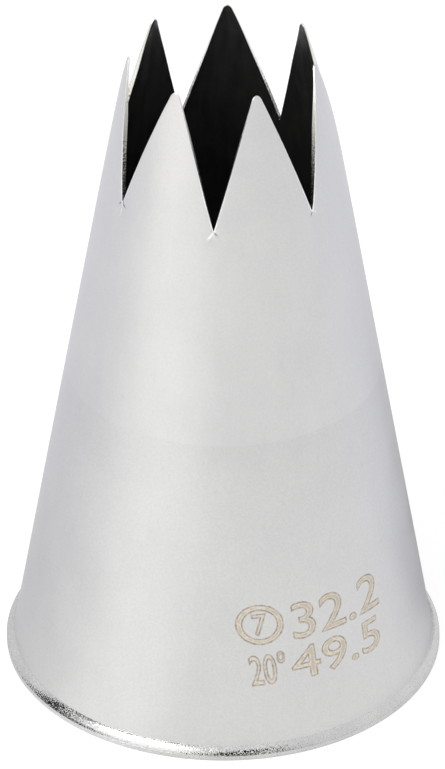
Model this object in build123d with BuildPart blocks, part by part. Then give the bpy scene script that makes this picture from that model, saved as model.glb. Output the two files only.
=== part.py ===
from build123d import *
from math import acos, atan, cos, degrees, radians, sin, tan
import os

# Piping nozzle of thin pressed sheet: an open cone with pointed teeth round the tip and a flared foot.
# Millimetres. +Z runs up the axis to the tip, the origin is the centre of the flat underside of the foot,
# and -Y looks straight at the middle of one of the cuts between the teeth.

# Cone
height = 49.5
tip_bore = 13.0
tip_wall = 0.35
cone_foot_diameter = 31.2
foot_wall = 0.4
seam_height = 24.0

# Teeth
tooth_count = 7
notch_angle = 32.0
tip_radius = 0.4
root_radius = 0.05

# Flared rim
flare_radius = 0.5
inside_bend_radius = 0.7
lip_flat = 0.08
lip_edge_radius = 0.06
rim_land = 0.1

# The walls are measured level, so the tip's outside follows from its bore at the height of the points.
tip_outer_radius = tip_bore / 2 + tip_wall
foot_radius = cone_foot_diameter / 2
cone_slope = (foot_radius - tip_outer_radius) / (height - foot_wall)
wall_slope = (foot_wall - tip_wall) / (height - foot_wall)
half_angle = atan(cone_slope)


def outer_radius(level):
    """Radius of the cone's outside at a level above the foot."""
    return foot_radius - (level - foot_wall) * cone_slope


def inner_radius(level):
    """Radius of the cone's inside, with a wall that thins steadily from the foot to the tip."""
    return outer_radius(level) - foot_wall + (level - foot_wall) * wall_slope


# The flare is tangent to the cone and to the top of the lip, which meet at the foot radius.
flare_tangent = flare_radius * tan((radians(90) - half_angle) / 2)
rim_radius = foot_radius + flare_tangent + lip_flat
rim_height = foot_wall + flare_tangent * cos(half_angle) + rim_land

# Each cut is a flat-sided V, driven straight at the axis. Two neighbouring cuts meet in a ridge in the middle
# of a tooth, which climbs outward, and the rounding then lowers the ridge to the finished height.
half_pitch = radians(180) / tooth_count
notch_half_angle = radians(notch_angle) / 2
notch_slope = tan(notch_half_angle)
ridge_rise = sin(half_pitch) / notch_slope
ridge_half_angle = acos(cos(half_pitch) * cos(notch_half_angle))
rounding_drop = tip_radius * (1 / sin(ridge_half_angle) - 1)
sharp_height = height + rounding_drop / cos(atan(ridge_rise)) / (1 + ridge_rise * cone_slope)
root_height = sharp_height - outer_radius(sharp_height) * ridge_rise
overrun = foot_wall
cut_top = sharp_height + overrun
cut_half_width = (cut_top - root_height) * notch_slope
cut_reach = outer_radius(root_height) + overrun

# Upper cone with its teeth
with BuildPart() as notch_cutter:
    with BuildSketch(Plane.XZ):
        with BuildLine():
            Polyline((0, root_height), (cut_half_width, cut_top), (-cut_half_width, cut_top), close=True)
        make_face()
        fillet(vertices().sort_by(Axis.Y)[0], root_radius)
    extrude(amount=cut_reach)

with BuildPart() as toothed_cone:
    with BuildSketch(Plane.XZ):
        with BuildLine():
            Polyline(
                (inner_radius(seam_height), seam_height),
                (outer_radius(seam_height), seam_height),
                (outer_radius(cut_top), cut_top),
                (inner_radius(cut_top), cut_top),
                close=True,
            )
        make_face()
    revolve(axis=Axis.Z)
    with PolarLocations(0, tooth_count):
        add(notch_cutter.part, mode=Mode.SUBTRACT)
    ridges = edges().filter_by(GeomType.LINE).sort_by(Axis.Z)[-tooth_count:]
    fillet(ridges, tip_radius)
toothed_cone.part.label = "toothed_cone"

# Lower cone
with BuildPart() as lower_cone:
    with BuildSketch(Plane.XZ):
        with BuildLine():
            Polyline(
                (inner_radius(rim_height), rim_height),
                (outer_radius(rim_height), rim_height),
                (outer_radius(seam_height), seam_height),
                (inner_radius(seam_height), seam_height),
                close=True,
            )
        make_face()
    revolve(axis=Axis.Z)
lower_cone.part.label = "lower_cone"

# Flared rim with the flat foot
with BuildPart() as flared_rim:
    with BuildSketch(Plane.XZ) as rim_profile:
        with BuildLine():
            Polyline(
                (inner_radius(0), 0),
                (rim_radius, 0),
                (rim_radius, foot_wall),
                (foot_radius, foot_wall),
                (outer_radius(rim_height), rim_height),
                (inner_radius(rim_height), rim_height),
                close=True,
            )
        make_face()
        fillet(vertices().sort_by_distance((foot_radius, foot_wall))[0], flare_radius)
        fillet(vertices().sort_by_distance((inner_radius(0), 0))[0], inside_bend_radius)
        fillet(vertices().sort_by(Axis.X)[-2:], lip_edge_radius)
    revolve(axis=Axis.Z)
flared_rim.part.label = "flared_rim"

print(f"half angle of the cone {degrees(half_angle):.2f} degrees")
print(f"rim diameter {2 * rim_radius:.2f}, rim height {rim_height:.2f}, root of the cuts {root_height:.2f}")

os.makedirs("parts", exist_ok=True)
for piece in (toothed_cone, lower_cone, flared_rim):
    export_step(piece.part, f"parts/{piece.part.label}.step")
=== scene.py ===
# Piping nozzle with seven pointed teeth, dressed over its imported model.
# Metres, +Z up the axis, the origin in the middle of the flat foot, -Y at the middle of one cut.
import logging
import math
from abc import ABC, abstractmethod
from collections.abc import Callable, Sequence
from dataclasses import dataclass, field
from enum import Enum
from functools import partial, reduce
from typing import NamedTuple

import bpy
import numpy as np
from mathutils import Matrix, Vector


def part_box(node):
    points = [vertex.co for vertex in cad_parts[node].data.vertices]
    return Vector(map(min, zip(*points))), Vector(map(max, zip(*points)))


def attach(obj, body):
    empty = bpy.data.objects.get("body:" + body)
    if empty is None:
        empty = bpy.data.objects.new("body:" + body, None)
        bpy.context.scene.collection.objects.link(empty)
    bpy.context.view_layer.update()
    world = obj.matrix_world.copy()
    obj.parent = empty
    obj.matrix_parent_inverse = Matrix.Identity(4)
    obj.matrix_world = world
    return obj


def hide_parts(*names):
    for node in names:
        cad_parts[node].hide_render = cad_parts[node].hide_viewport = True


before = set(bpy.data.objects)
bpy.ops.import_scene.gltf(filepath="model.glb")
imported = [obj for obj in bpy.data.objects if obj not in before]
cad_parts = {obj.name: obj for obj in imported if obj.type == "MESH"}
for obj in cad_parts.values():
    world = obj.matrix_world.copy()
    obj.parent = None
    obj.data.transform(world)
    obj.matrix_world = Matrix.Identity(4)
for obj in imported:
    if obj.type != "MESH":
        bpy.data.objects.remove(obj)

MM = 0.001
MICRON = 0.000001
BODY = "root"
EVEN = (1.0, 1.0, 1.0)
ORIGIN = (0.0, 0.0, 0.0)
NOISE_GRIT = 0.55
NOISE_SPAN = (0.3, 0.7)
MIX_SHARE, MIX_FIRST, MIX_SECOND, MIX_RESULT = 0, 6, 7, 2

Socket = bpy.types.NodeSocket
Input = Socket | float
Pair = tuple[float, float]
Triple = tuple[float, float, float]
Colour = tuple[float, float, float, float]

log = logging.getLogger("piping_nozzle")


class Side(Enum):
    """The surfaces of the sheet."""

    OUTSIDE = "outside"
    # The edge side carries a painted highlight.
    EDGE = "worn edge"
    CUT = "cut"
    INSIDE = "inside"


class RecordSlot(Enum):
    """Names of the record's material slots."""

    SATIN = "satin_steel"
    POLISHED = "polished_steel"


class PointValue(Enum):
    """What the meshes carry at their points: lengths in millimetres, and the number of the nearest cut."""

    MARK = "mark_distance"
    FROM_EDGE = "edge_distance"
    ACROSS = "root_across"
    DOWN = "root_down"
    ROOT = "root_number"


Finishes = dict[Side, bpy.types.Material]


# Shapes


def place(radius: np.ndarray, angle: np.ndarray, level: np.ndarray) -> np.ndarray:
    """Puts points round the axis: x is the radius times the sine, y is minus the radius times the cosine.

    Args:
        radius: distance from the axis.
        angle: angle from -Y towards +X, in radians.
        level: height above the foot.

    Returns:
        The points, with x, y and z along the last axis.
    """
    radius, angle, level = np.broadcast_arrays(radius, angle, level)
    return np.stack((radius * np.sin(angle), -radius * np.cos(angle), level), axis=-1)


def smooth_step(value: np.ndarray, start: float, end: float) -> np.ndarray:
    """Rises from 0 at start to 1 at end as 3 t squared minus 2 t cubed.

    Args:
        value: where it is read.
        start: value at which it leaves 0.
        end: value at which it reaches 1.

    Returns:
        The share from 0 to 1.
    """
    share = np.clip((value - start) / (end - start), 0.0, 1.0)
    return share * share * (3.0 - 2.0 * share)


def graded(stretches: Sequence[tuple[float, float, int]]) -> np.ndarray:
    """Joins evenly divided stretches into one rising or falling row of values.

    Args:
        stretches: start, end and number of steps of each stretch, each starting where the last one ends.

    Returns:
        The values, with every shared end given once.
    """
    rows = [np.linspace(start, end, steps, endpoint=False) for start, end, steps in stretches]
    return np.concatenate([*rows, [stretches[-1][1]]])


def rounded_outline(corners: np.ndarray, radii: np.ndarray, arc_steps: int) -> np.ndarray:
    """Rounds a closed outline's corners with circle arcs.

    Each arc touches both straights at radius / tan(half the corner's angle) from the corner, and its centre
    lies on the corner's bisector. The arc is swept by the directions between the two touching points.

    Args:
        corners: corner points, shape (n, 2).
        radii: arc radius at each corner.
        arc_steps: points on each arc, less one.

    Returns:
        The outline's points in order, shape (n * (arc_steps + 1), 2).
    """
    back = np.roll(corners, 1, axis=0) - corners
    ahead = np.roll(corners, -1, axis=0) - corners
    back /= np.linalg.norm(back, axis=1, keepdims=True)
    ahead /= np.linalg.norm(ahead, axis=1, keepdims=True)
    bisector = back + ahead
    bisector /= np.linalg.norm(bisector, axis=1, keepdims=True)
    half = np.arccos(np.clip(np.sum(back * bisector, axis=1), -1.0, 1.0))
    reach = (radii / np.tan(half))[:, None]
    centre = corners + bisector * (radii / np.sin(half))[:, None]
    first = corners + back * reach - centre
    last = corners + ahead * reach - centre
    share = np.linspace(0.0, 1.0, arc_steps + 1)[None, :, None]
    sweep = (math.pi - 2.0 * half)[:, None, None]
    arc = np.sin((1.0 - share) * sweep) * first[:, None] + np.sin(share * sweep) * last[:, None]
    arc = centre[:, None] + arc / np.sin(sweep)
    return arc.reshape(-1, 2)


def put_in_scene(name: str, data: bpy.types.ID) -> bpy.types.Object:
    """Makes an object and puts it in the scene.

    Args:
        name: the object's name.
        data: its mesh, curve, lamp or camera.

    Returns:
        The object, at the origin.
    """
    thing = bpy.data.objects.new(name, data)
    bpy.context.scene.collection.objects.link(thing)
    return thing


def points_of(mesh: bpy.types.Mesh) -> np.ndarray:
    """Reads a mesh's points.

    Args:
        mesh: the mesh.

    Returns:
        The points, shape (n, 3).
    """
    points = np.zeros(len(mesh.vertices) * 3)
    mesh.vertices.foreach_get("co", points)
    return points.reshape(-1, 3)


class Section:
    """A closed section of the sheet, gathered block by block, up the outside and down the inside."""

    def __init__(self, around: int) -> None:
        """Starts an empty section.

        Args:
            around: number of angles at which the section is given.
        """
        self.around = around
        self.radii: list[np.ndarray] = []
        self.levels: list[np.ndarray] = []
        self.sides: list[Side] = []
        self.crisp: list[bool] = []

    def add(
        self,
        radius: np.ndarray,
        level: np.ndarray,
        side: Side,
        last: Side | None = None,
        crisp: tuple[bool, bool] = (False, False),
    ) -> None:
        """Adds a block of points.

        Args:
            radius: distance from the axis, for every angle or the same for all.
            level: height above the foot, for every angle or the same for all.
            side: side that the faces starting at these points belong to.
            last: side of those at the last point, where it is another one.
            crisp: whether the edges that run round through the first and the last point are crisp.
        """
        steps = np.shape(level)[-1]
        self.radii.append(np.broadcast_to(radius, (self.around, steps)))
        self.levels.append(np.broadcast_to(level, (self.around, steps)))
        self.sides += [*[side] * (steps - 1), last or side]
        self.crisp += [crisp[0], *[False] * (steps - 2), crisp[1]]

    @property
    def radius(self) -> np.ndarray:
        """Radius of all points, shape (round, along)."""
        return np.concatenate(self.radii, axis=1)

    @property
    def level(self) -> np.ndarray:
        """Height of all points, shape (round, along)."""
        return np.concatenate(self.levels, axis=1)

    def ring(self, name: str, grid: np.ndarray, finishes: Finishes) -> bpy.types.Object:
        """Makes a closed ring of four-sided faces, which joins up both round the axis and along the section.

        Args:
            name: the piece's name.
            grid: points, shape (round, along, 3).
            finishes: the material of each side.

        Returns:
            The piece, at the origin, with its faces outwards.
        """
        around, along = grid.shape[:2]
        here = np.arange(around * along).reshape(around, along)
        beside = np.roll(here, -1, axis=0)
        faces = np.stack((here, beside, np.roll(beside, -1, axis=1), np.roll(here, -1, axis=1)), axis=-1)
        faces = faces.reshape(-1, 4)
        points = grid.reshape(-1, 3)
        corner = points[faces]
        volume = np.sum(np.cross(corner[:, 0], corner[:, 1]) * corner[:, 2])
        volume += np.sum(np.cross(corner[:, 0], corner[:, 2]) * corner[:, 3])
        if volume < 0.0:
            faces = faces[:, ::-1]
        mesh = bpy.data.meshes.new(name)
        mesh.from_pydata(points.tolist(), [], faces.tolist())
        slots = list(finishes)
        for side in slots:
            mesh.materials.append(finishes[side])
        numbers = np.array([slots.index(side) for side in self.sides], dtype=np.int32)
        mesh.polygons.foreach_set("material_index", np.tile(numbers, around))
        mesh.shade_smooth()
        ends = np.zeros(len(mesh.edges) * 2, dtype=np.int32)
        mesh.edges.foreach_get("vertices", ends)
        first, last = (ends.reshape(-1, 2) % along).T
        crisp = (first == last) & np.array(self.crisp)[first]
        mesh.attributes.new("sharp_edge", "BOOLEAN", "EDGE").data.foreach_set("value", crisp)
        mesh.update()
        return put_in_scene(name, mesh)


def carry(piece: bpy.types.Object, value: PointValue, lengths: np.ndarray) -> None:
    """Lets a piece carry a length at each of its points, in millimetres.

    Args:
        piece: the piece.
        value: what the lengths are.
        lengths: the lengths in metres, in the order of the piece's grid.
    """
    attribute = piece.data.attributes.new(value.value, "FLOAT", "POINT")
    attribute.data.foreach_set("value", (lengths / MM).astype(np.float32).ravel())


def settle(piece: bpy.types.Object, node: str) -> None:
    """Lets a piece stand for a CAD node and ride on its body.

    Args:
        piece: the finished piece.
        node: the CAD node that it stands for.
    """
    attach(piece, BODY)
    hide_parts(node)


def stands_proud(piece: bpy.types.Object, node: str) -> float:
    """Greatest distance by which a piece stands out of a CAD node's box.

    Args:
        piece: the finished piece.
        node: the CAD node.

    Returns:
        The distance, negative where the piece stays inside.
    """
    low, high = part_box(node)
    points = points_of(piece.data)
    return float(max(np.max(np.array(low) - points.min(0)), np.max(points.max(0) - np.array(high))))


class Wave(NamedTuple):
    """A slow wave of the sheet: its share, its lobes round the axis, its climb and where it starts."""

    share: float
    lobes: int
    climb: float
    start: float


@dataclass(frozen=True)
class ConeForm:
    """The thin cone that all pieces follow: straight outside, wall thinning evenly up to the tip."""

    height: float = 49.5 * MM
    foot_radius: float = 15.6 * MM
    foot_wall: float = 0.4 * MM
    tip_bore: float = 13.0 * MM
    tip_wall: float = 0.35 * MM
    seam: float = 24.0 * MM
    flare_radius: float = 0.5 * MM
    lip_flat: float = 0.08 * MM
    rim_land: float = 0.1 * MM
    wave_depth: float = 5.0 * MICRON
    wave_height: float = 9.0 * MM
    waves: tuple[Wave, ...] = (
        Wave(1.0, 2, 0.7, 0.4),
        Wave(0.7, 3, -1.3, 1.9),
        Wave(0.5, 5, 2.1, 4.0),
        Wave(0.4, 9, -0.6, 2.6),
    )
    waves_begin: Pair = (1.5 * MM, 6.0 * MM)
    waves_end: Pair = (40.0 * MM, 46.0 * MM)

    @property
    def slope(self) -> float:
        """Fall of the outside's radius for each unit of height."""
        return (self.foot_radius - self.tip_bore / 2 - self.tip_wall) / (self.height - self.foot_wall)

    @property
    def flare_reach(self) -> float:
        """Distance from the flare's corner to where its arc touches the cone and the lip."""
        return self.flare_radius * math.tan((math.pi / 2 - math.atan(self.slope)) / 2)

    @property
    def rim_radius(self) -> float:
        """Radius of the rim's edge."""
        return self.foot_radius + self.flare_reach + self.lip_flat

    @property
    def rim_height(self) -> float:
        """Level at which the rim passes into the cone."""
        return self.foot_wall + self.flare_reach * math.cos(math.atan(self.slope)) + self.rim_land

    def outside(self, level: np.ndarray) -> np.ndarray:
        """Radius of the outside: the foot's radius less the slope times the height above the lip."""
        return self.foot_radius - (level - self.foot_wall) * self.slope

    def inside(self, level: np.ndarray) -> np.ndarray:
        """Radius of the inside: the outside less a wall that thins evenly up to the tip."""
        share = (level - self.foot_wall) / (self.height - self.foot_wall)
        return self.outside(level) - self.foot_wall + share * (self.foot_wall - self.tip_wall)

    def wave(self, angle: np.ndarray, level: np.ndarray) -> np.ndarray:
        """Slow waves that the press leaves in the sheet, as cosines of the angle and the height.

        Args:
            angle: angle round the axis.
            level: height above the foot.

        Returns:
            How far the sheet stands out, which fades to nothing at the rim and at the tip.
        """
        turns = level / self.wave_height
        waves = (
            wave.share * np.cos(wave.lobes * angle + wave.climb * turns + wave.start) for wave in self.waves
        )
        fade = smooth_step(level, *self.waves_begin) * (1 - smooth_step(level, *self.waves_end))
        return self.wave_depth * sum(waves) * fade


# Finishes


class Ramp(NamedTuple):
    """The stretch of a value from start to end, and what its ends are carried over to."""

    start: float
    end: float
    low: float
    high: float


class Nodes:
    """A material's or world's node sheet, with short calls that add nodes and join them."""

    def __init__(self, tree: bpy.types.NodeTree) -> None:
        """Clears the sheet.

        Args:
            tree: Blender's node sheet.
        """
        self.tree = tree
        tree.nodes.clear()

    def add(
        self, kind: str, inputs: dict[str | int, Input | Sequence[float]] | None = None, **settings: str
    ) -> bpy.types.Node:
        """Adds a node.

        Args:
            kind: Blender's name of the node type.
            inputs: value or source socket for each input, by the input's name or number.
            settings: the node's own properties.

        Returns:
            The new node.
        """
        node = self.tree.nodes.new(kind)
        for name, value in settings.items():
            setattr(node, name, value)
        for name, value in (inputs or {}).items():
            if isinstance(value, Socket):
                self.tree.links.new(value, node.inputs[name])
            else:
                node.inputs[name].default_value = value
        return node

    def position(self, stretch: Sequence[float] = EVEN) -> Socket:
        """Position in the object's own space.

        Args:
            stretch: what each axis is multiplied by.

        Returns:
            The position in metres.
        """
        source = self.add("ShaderNodeTexCoord").outputs["Object"]
        if tuple(stretch) == EVEN:
            return source
        return self.add("ShaderNodeMapping", {"Vector": source, "Scale": stretch}).outputs["Vector"]

    def axis(self, name: str, vector: Socket) -> Socket:
        """One axis of a vector, by its name."""
        return self.add("ShaderNodeSeparateXYZ", {0: vector}).outputs[name]

    def vector(self, kind: str, first: Socket, second: Sequence[float] = ORIGIN) -> Socket:
        """The named arithmetic of two vectors, which gives a value for a length or a dot product."""
        node = self.add("ShaderNodeVectorMath", {0: first, 1: second}, operation=kind)
        return node.outputs["Value" if kind in ("DOT_PRODUCT", "LENGTH") else "Vector"]

    def carried(self, value: PointValue) -> Socket:
        """The number that the mesh carries at its points."""
        return self.add("ShaderNodeAttribute", attribute_name=value.value).outputs["Fac"]

    def noise(self, size: float, detail: float = 2.0, stretch: Sequence[float] = EVEN) -> Socket:
        """Cloudy noise whose lumps are about size across, as a value round one half."""
        spot = self.position(stretch)
        inputs = {"Vector": spot, "Scale": 1 / size, "Detail": detail, "Roughness": NOISE_GRIT}
        return self.add("ShaderNodeTexNoise", inputs).outputs[0]

    def ramp(
        self, value: Socket, start: Input, end: float, low: float, high: float, smooth: bool = True
    ) -> Socket:
        """Carries a stretch of a value over to another, and holds the ends beyond it.

        Args:
            value: the value.
            start: start of the stretch.
            end: end of the stretch.
            low: what the start becomes.
            high: what the end becomes.
            smooth: whether the ends are eased.

        Returns:
            The new value.
        """
        kind = "SMOOTHSTEP" if smooth else "LINEAR"
        inputs = {"Value": value, "From Min": start, "From Max": end, "To Min": low, "To Max": high}
        return self.add("ShaderNodeMapRange", inputs, interpolation_type=kind).outputs["Result"]

    def swing(self, noise: Socket, middle: float, amount: float, smooth: bool = True) -> Socket:
        """Lets a noise swing a value by the amount to both sides of its middle."""
        return self.ramp(noise, *NOISE_SPAN, middle - amount, middle + amount, smooth)

    def math(self, kind: str, first: Input, second: Input = 0.0) -> Socket:
        """The named arithmetic of two values."""
        return self.add("ShaderNodeMath", {0: first, 1: second}, operation=kind).outputs[0]

    def total(self, *values: Input) -> Socket:
        """The sum of some values."""
        return reduce(partial(self.math, "ADD"), values)

    def product(self, *values: Input) -> Socket:
        """The product of some values."""
        return reduce(partial(self.math, "MULTIPLY"), values)

    def mix(self, share: Input, first: Socket | Colour, second: Socket | Colour) -> Socket:
        """Mixes two colours by a share, through the sockets that the node keeps for colours."""
        inputs = {MIX_SHARE: share, MIX_FIRST: first, MIX_SECOND: second}
        return self.add("ShaderNodeMix", inputs, data_type="RGBA").outputs[MIX_RESULT]


class Coat(NamedTuple):
    """What makes up a metal surface at a point: its colour, its roughness and its height in microns."""

    colour: Socket
    roughness: Input
    height: Socket


def grey(tone: float, warmth: float = 0.0) -> Colour:
    """A grey whose blue is lowered by the warmth, and whose red and green are raised by parts of it."""
    return (tone * (1 + warmth / 3), tone * (1 + warmth / 5), tone * (1 - warmth), 1.0)


@dataclass(frozen=True)
class MetalFinish(ABC):
    """A bare metal finish, which each kind of surface fills in with a coat of its own."""

    name: str
    tone: float
    roughness: float
    metallic: float = 1.0
    edge_tint: float = 1.0

    @abstractmethod
    def coat(self, nodes: Nodes) -> Coat:
        """Lays out the finish's coat.

        Args:
            nodes: the material's node sheet.

        Returns:
            The coat.
        """

    def shaded(self, nodes: Nodes, change: Socket, reach: float, warmth: float) -> Socket:
        """Makes the finish's tone darker and lighter.

        Args:
            nodes: the material's node sheet.
            change: by which share it gets lighter, or darker below 0.
            reach: the greatest change.
            warmth: warmth of the lightest tone, and coolness of the darkest.

        Returns:
            The colour.
        """
        darkest = grey(self.tone * (1 - reach), -warmth)
        lightest = grey(self.tone * (1 + reach), warmth)
        return nodes.mix(nodes.ramp(change, -reach, reach, 0.0, 1.0, smooth=False), darkest, lightest)

    def material(self) -> bpy.types.Material:
        """Builds the node material from the coat, with the height as a bump.

        Returns:
            The material, in object coordinates.
        """
        material = bpy.data.materials.new(self.name)
        material.use_nodes = True
        nodes = Nodes(material.node_tree)
        coat = self.coat(nodes)
        bump = nodes.add("ShaderNodeBump", {"Strength": 1.0, "Distance": MICRON, "Height": coat.height})
        inputs = {"Base Color": coat.colour, "Roughness": coat.roughness, "Normal": bump.outputs["Normal"]}
        inputs |= {"Metallic": self.metallic, "Specular Tint": grey(self.edge_tint)}
        shader = nodes.add("ShaderNodeBsdfPrincipled", inputs)
        nodes.add("ShaderNodeOutputMaterial", {"Surface": shader.outputs["BSDF"]})
        return material


@dataclass(frozen=True)
class SatinFinish(MetalFinish):
    """Fine satin of tumbled steel: close grain, slow clouds, a few faint spots and hair scratches."""

    roughness: float = 0.38
    roughness_swing: float = 0.03
    warmth: float = 0.004
    grain_size: float = 0.16 * MM
    grain_span: Pair = (0.25, 0.75)
    grain_depth: float = 3.0
    grain_contrast: float = 0.035
    cloud_size: float = 5.0 * MM
    cloud_contrast: float = 0.02
    streak_size: float = 1.3 * MM
    streak_stretch: Triple = (1.0, 1.0, 0.16)
    streak_contrast: float = 0.008
    streak_depth: float = 0.6
    spot_spacing: float = 3.4 * MM
    spot_share: Ramp = Ramp(0.03, 0.06, 0.1, 0.0)
    spot_tone: float = 0.55
    spot_warmth: float = 0.03
    hair_size: float = 0.5 * MM
    hair_stretch: Triple = (0.9, 0.9, 0.05)
    hair_share: Ramp = Ramp(0.8, 0.84, 0.0, 0.1)
    hair_tone: float = 0.8

    def coat(self, nodes: Nodes) -> Coat:
        """Lays grain, clouds, streaks, spots and scratches over each other.

        Args:
            nodes: the material's node sheet.

        Returns:
            The coat.
        """
        grain = nodes.noise(self.grain_size)
        cloud = nodes.noise(self.cloud_size, detail=3.0)
        streak = nodes.noise(self.streak_size, stretch=self.streak_stretch)
        change = nodes.total(
            nodes.ramp(grain, *self.grain_span, -self.grain_contrast, self.grain_contrast, smooth=False),
            nodes.swing(cloud, 0.0, self.cloud_contrast),
            nodes.swing(streak, 0.0, self.streak_contrast, smooth=False),
        )
        colour = self.shaded(nodes, change, self.grain_contrast + self.cloud_contrast, self.warmth)
        spot_inputs = {"Vector": nodes.position(), "Scale": 1.0 / self.spot_spacing}
        spots = nodes.add("ShaderNodeTexVoronoi", spot_inputs).outputs["Distance"]
        spot_colour = grey(self.tone * self.spot_tone, self.spot_warmth)
        colour = nodes.mix(nodes.ramp(spots, *self.spot_share), colour, spot_colour)
        hairs = nodes.noise(self.hair_size, detail=0.0, stretch=self.hair_stretch)
        colour = nodes.mix(nodes.ramp(hairs, *self.hair_share), colour, grey(self.tone * self.hair_tone))
        roughness = nodes.swing(cloud, self.roughness, self.roughness_swing)
        height = nodes.product(nodes.total(grain, nodes.product(streak, self.streak_depth)), self.grain_depth)
        return self.dress(nodes, Coat(colour, roughness, height))

    @abstractmethod
    def dress(self, nodes: Nodes, coat: Coat) -> Coat:
        """Adds what only one piece's satin has.

        Args:
            nodes: the material's node sheet.
            coat: the plain satin.

        Returns:
            The piece's own satin.
        """


class Crease(NamedTuple):
    """One fold of the pinch below a root: a short groove or ridge that runs down and aside from it.

    Root is the number of its cut. Turn is in degrees from straight down towards +X, lengths are in
    millimetres and height is in microns. The tone is painted on: near white as a painted glint on a ridge,
    near black as painted shade in a groove.
    """

    root: int
    turn: float
    length: float
    half_width: float
    height: float
    tone: float
    strength: float


@dataclass(frozen=True)
class ToothSatin(SatinFinish):
    """The satin of the toothed cone, pinched below the roots, with painted glints and painted shade on the
    pinch and a painted highlight along the cuts.

    Widths, lengths and the bends of the creases are in millimetres. Each crease gives its root, turn,
    length, half width, height, painted tone and painted shading strength.
    """

    tone: float = 0.665
    # Bright creases paint a glint on their ridge and dark ones paint shade in their groove; the heights are
    # real bumps.
    creases: tuple[Crease, ...] = (
        Crease(0, -36.0, 1.0, 0.18, 14.0, 0.99, 0.95),
        Crease(0, 46.0, 0.5, 0.085, -24.0, 0.12, 0.85),
        Crease(0, 34.0, 1.1, 0.07, -8.0, 0.4, 0.35),
        Crease(1, -24.0, 0.6, 0.1, -24.0, 0.1, 0.95),
        Crease(1, 52.0, 0.7, 0.1, 8.0, 0.95, 0.5),
        Crease(6, -58.0, 0.6, 0.11, -24.0, 0.08, 1.0),
        Crease(6, 56.0, 0.6, 0.1, -24.0, 0.08, 1.0),
        Crease(6, 2.0, 1.4, 0.1, 10.0, 0.98, 0.8),
        Crease(2, -30.0, 0.8, 0.1, 14.0, 0.95, 0.8),
        Crease(2, 36.0, 0.5, 0.07, -20.0, 0.15, 0.8),
        Crease(3, 24.0, 0.9, 0.1, 14.0, 0.95, 0.8),
        Crease(4, -8.0, 0.7, 0.08, -20.0, 0.15, 0.8),
        Crease(5, -44.0, 0.7, 0.1, 12.0, 0.95, 0.8),
        Crease(5, 12.0, 0.8, 0.07, -20.0, 0.15, 0.7),
    )
    crease_start: Pair = (-0.3, -0.12)
    crease_full: float = 0.4
    bend: Ramp = Ramp(0.2, 0.8, -0.1, 0.1)
    bend_across_size: float = 0.55 * MM
    bend_down_size: float = 0.8 * MM
    uneven_size: float = 0.25 * MM
    uneven: Ramp = Ramp(0.3, 0.55, 0.25, 1.0)
    # A band of painted highlight along the cuts: in patches, strongest just above the roots, over this width
    # from the edge.
    highlight_patch_size: float = 0.7 * MM
    highlight_patch_share: Ramp = Ramp(0.35, 0.65, 0.35, 1.0)
    highlight_above_root: Ramp = Ramp(1.0, 4.5, 1.0, 0.2)
    highlight_full: float = 0.4
    highlight_width: float = 0.13
    band_highlight_tone: float = 0.97

    def dress(self, nodes: Nodes, coat: Coat) -> Coat:
        """Adds the creases below each root, with their painted glints and shade, and a band of painted
        highlight along the cuts, brightest at the roots.

        A crease is 1 on its own line and falls to 0 at its half width, and it fades in at the root and out at
        its length. The line is bent a little by noise.

        Args:
            nodes: the material's node sheet.
            coat: the plain satin.

        Returns:
            The satin with creases and worn edges.
        """
        bend = nodes.ramp(nodes.noise(self.bend_across_size, detail=1.0), *self.bend, smooth=False)
        bend_down = nodes.ramp(nodes.noise(self.bend_down_size, detail=1.0), *self.bend, smooth=False)
        across = nodes.total(nodes.carried(PointValue.ACROSS), bend)
        down = nodes.total(nodes.carried(PointValue.DOWN), bend_down)
        colour, roughness, height = coat
        uneven = nodes.ramp(nodes.noise(self.uneven_size, detail=1.0), *self.uneven)
        for crease in self.creases:
            sine, cosine = math.sin(math.radians(crease.turn)), math.cos(math.radians(crease.turn))
            along = nodes.total(nodes.product(across, sine), nodes.product(down, -cosine))
            aside = nodes.total(nodes.product(across, cosine), nodes.product(down, sine))
            share = nodes.product(
                nodes.ramp(nodes.math("ABSOLUTE", aside), 0.0, crease.half_width, 1.0, 0.0),
                nodes.ramp(along, *self.crease_start, 0.0, 1.0),
                nodes.ramp(along, crease.length * self.crease_full, crease.length, 1.0, 0.0),
                nodes.math("COMPARE", nodes.carried(PointValue.ROOT), float(crease.root)),
                uneven,
            )
            height = nodes.total(height, nodes.product(share, crease.height))
            # The crease's tone is painted light: a glint on the bright creases, shade on the dark ones.
            colour = nodes.mix(nodes.product(share, crease.strength), colour, grey(crease.tone))
        # Painted highlight along the cuts, strongest just above the roots.
        highlight_patches = nodes.product(
            nodes.ramp(nodes.noise(self.highlight_patch_size), *self.highlight_patch_share),
            nodes.ramp(nodes.carried(PointValue.DOWN), *self.highlight_above_root),
        )
        from_edge = nodes.carried(PointValue.FROM_EDGE)
        painted_highlight = nodes.ramp(from_edge, self.highlight_width * self.highlight_full, self.highlight_width, 1.0, 0.0)
        colour = nodes.mix(nodes.product(painted_highlight, highlight_patches), colour, grey(self.band_highlight_tone))
        return Coat(colour, roughness, height)


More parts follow.
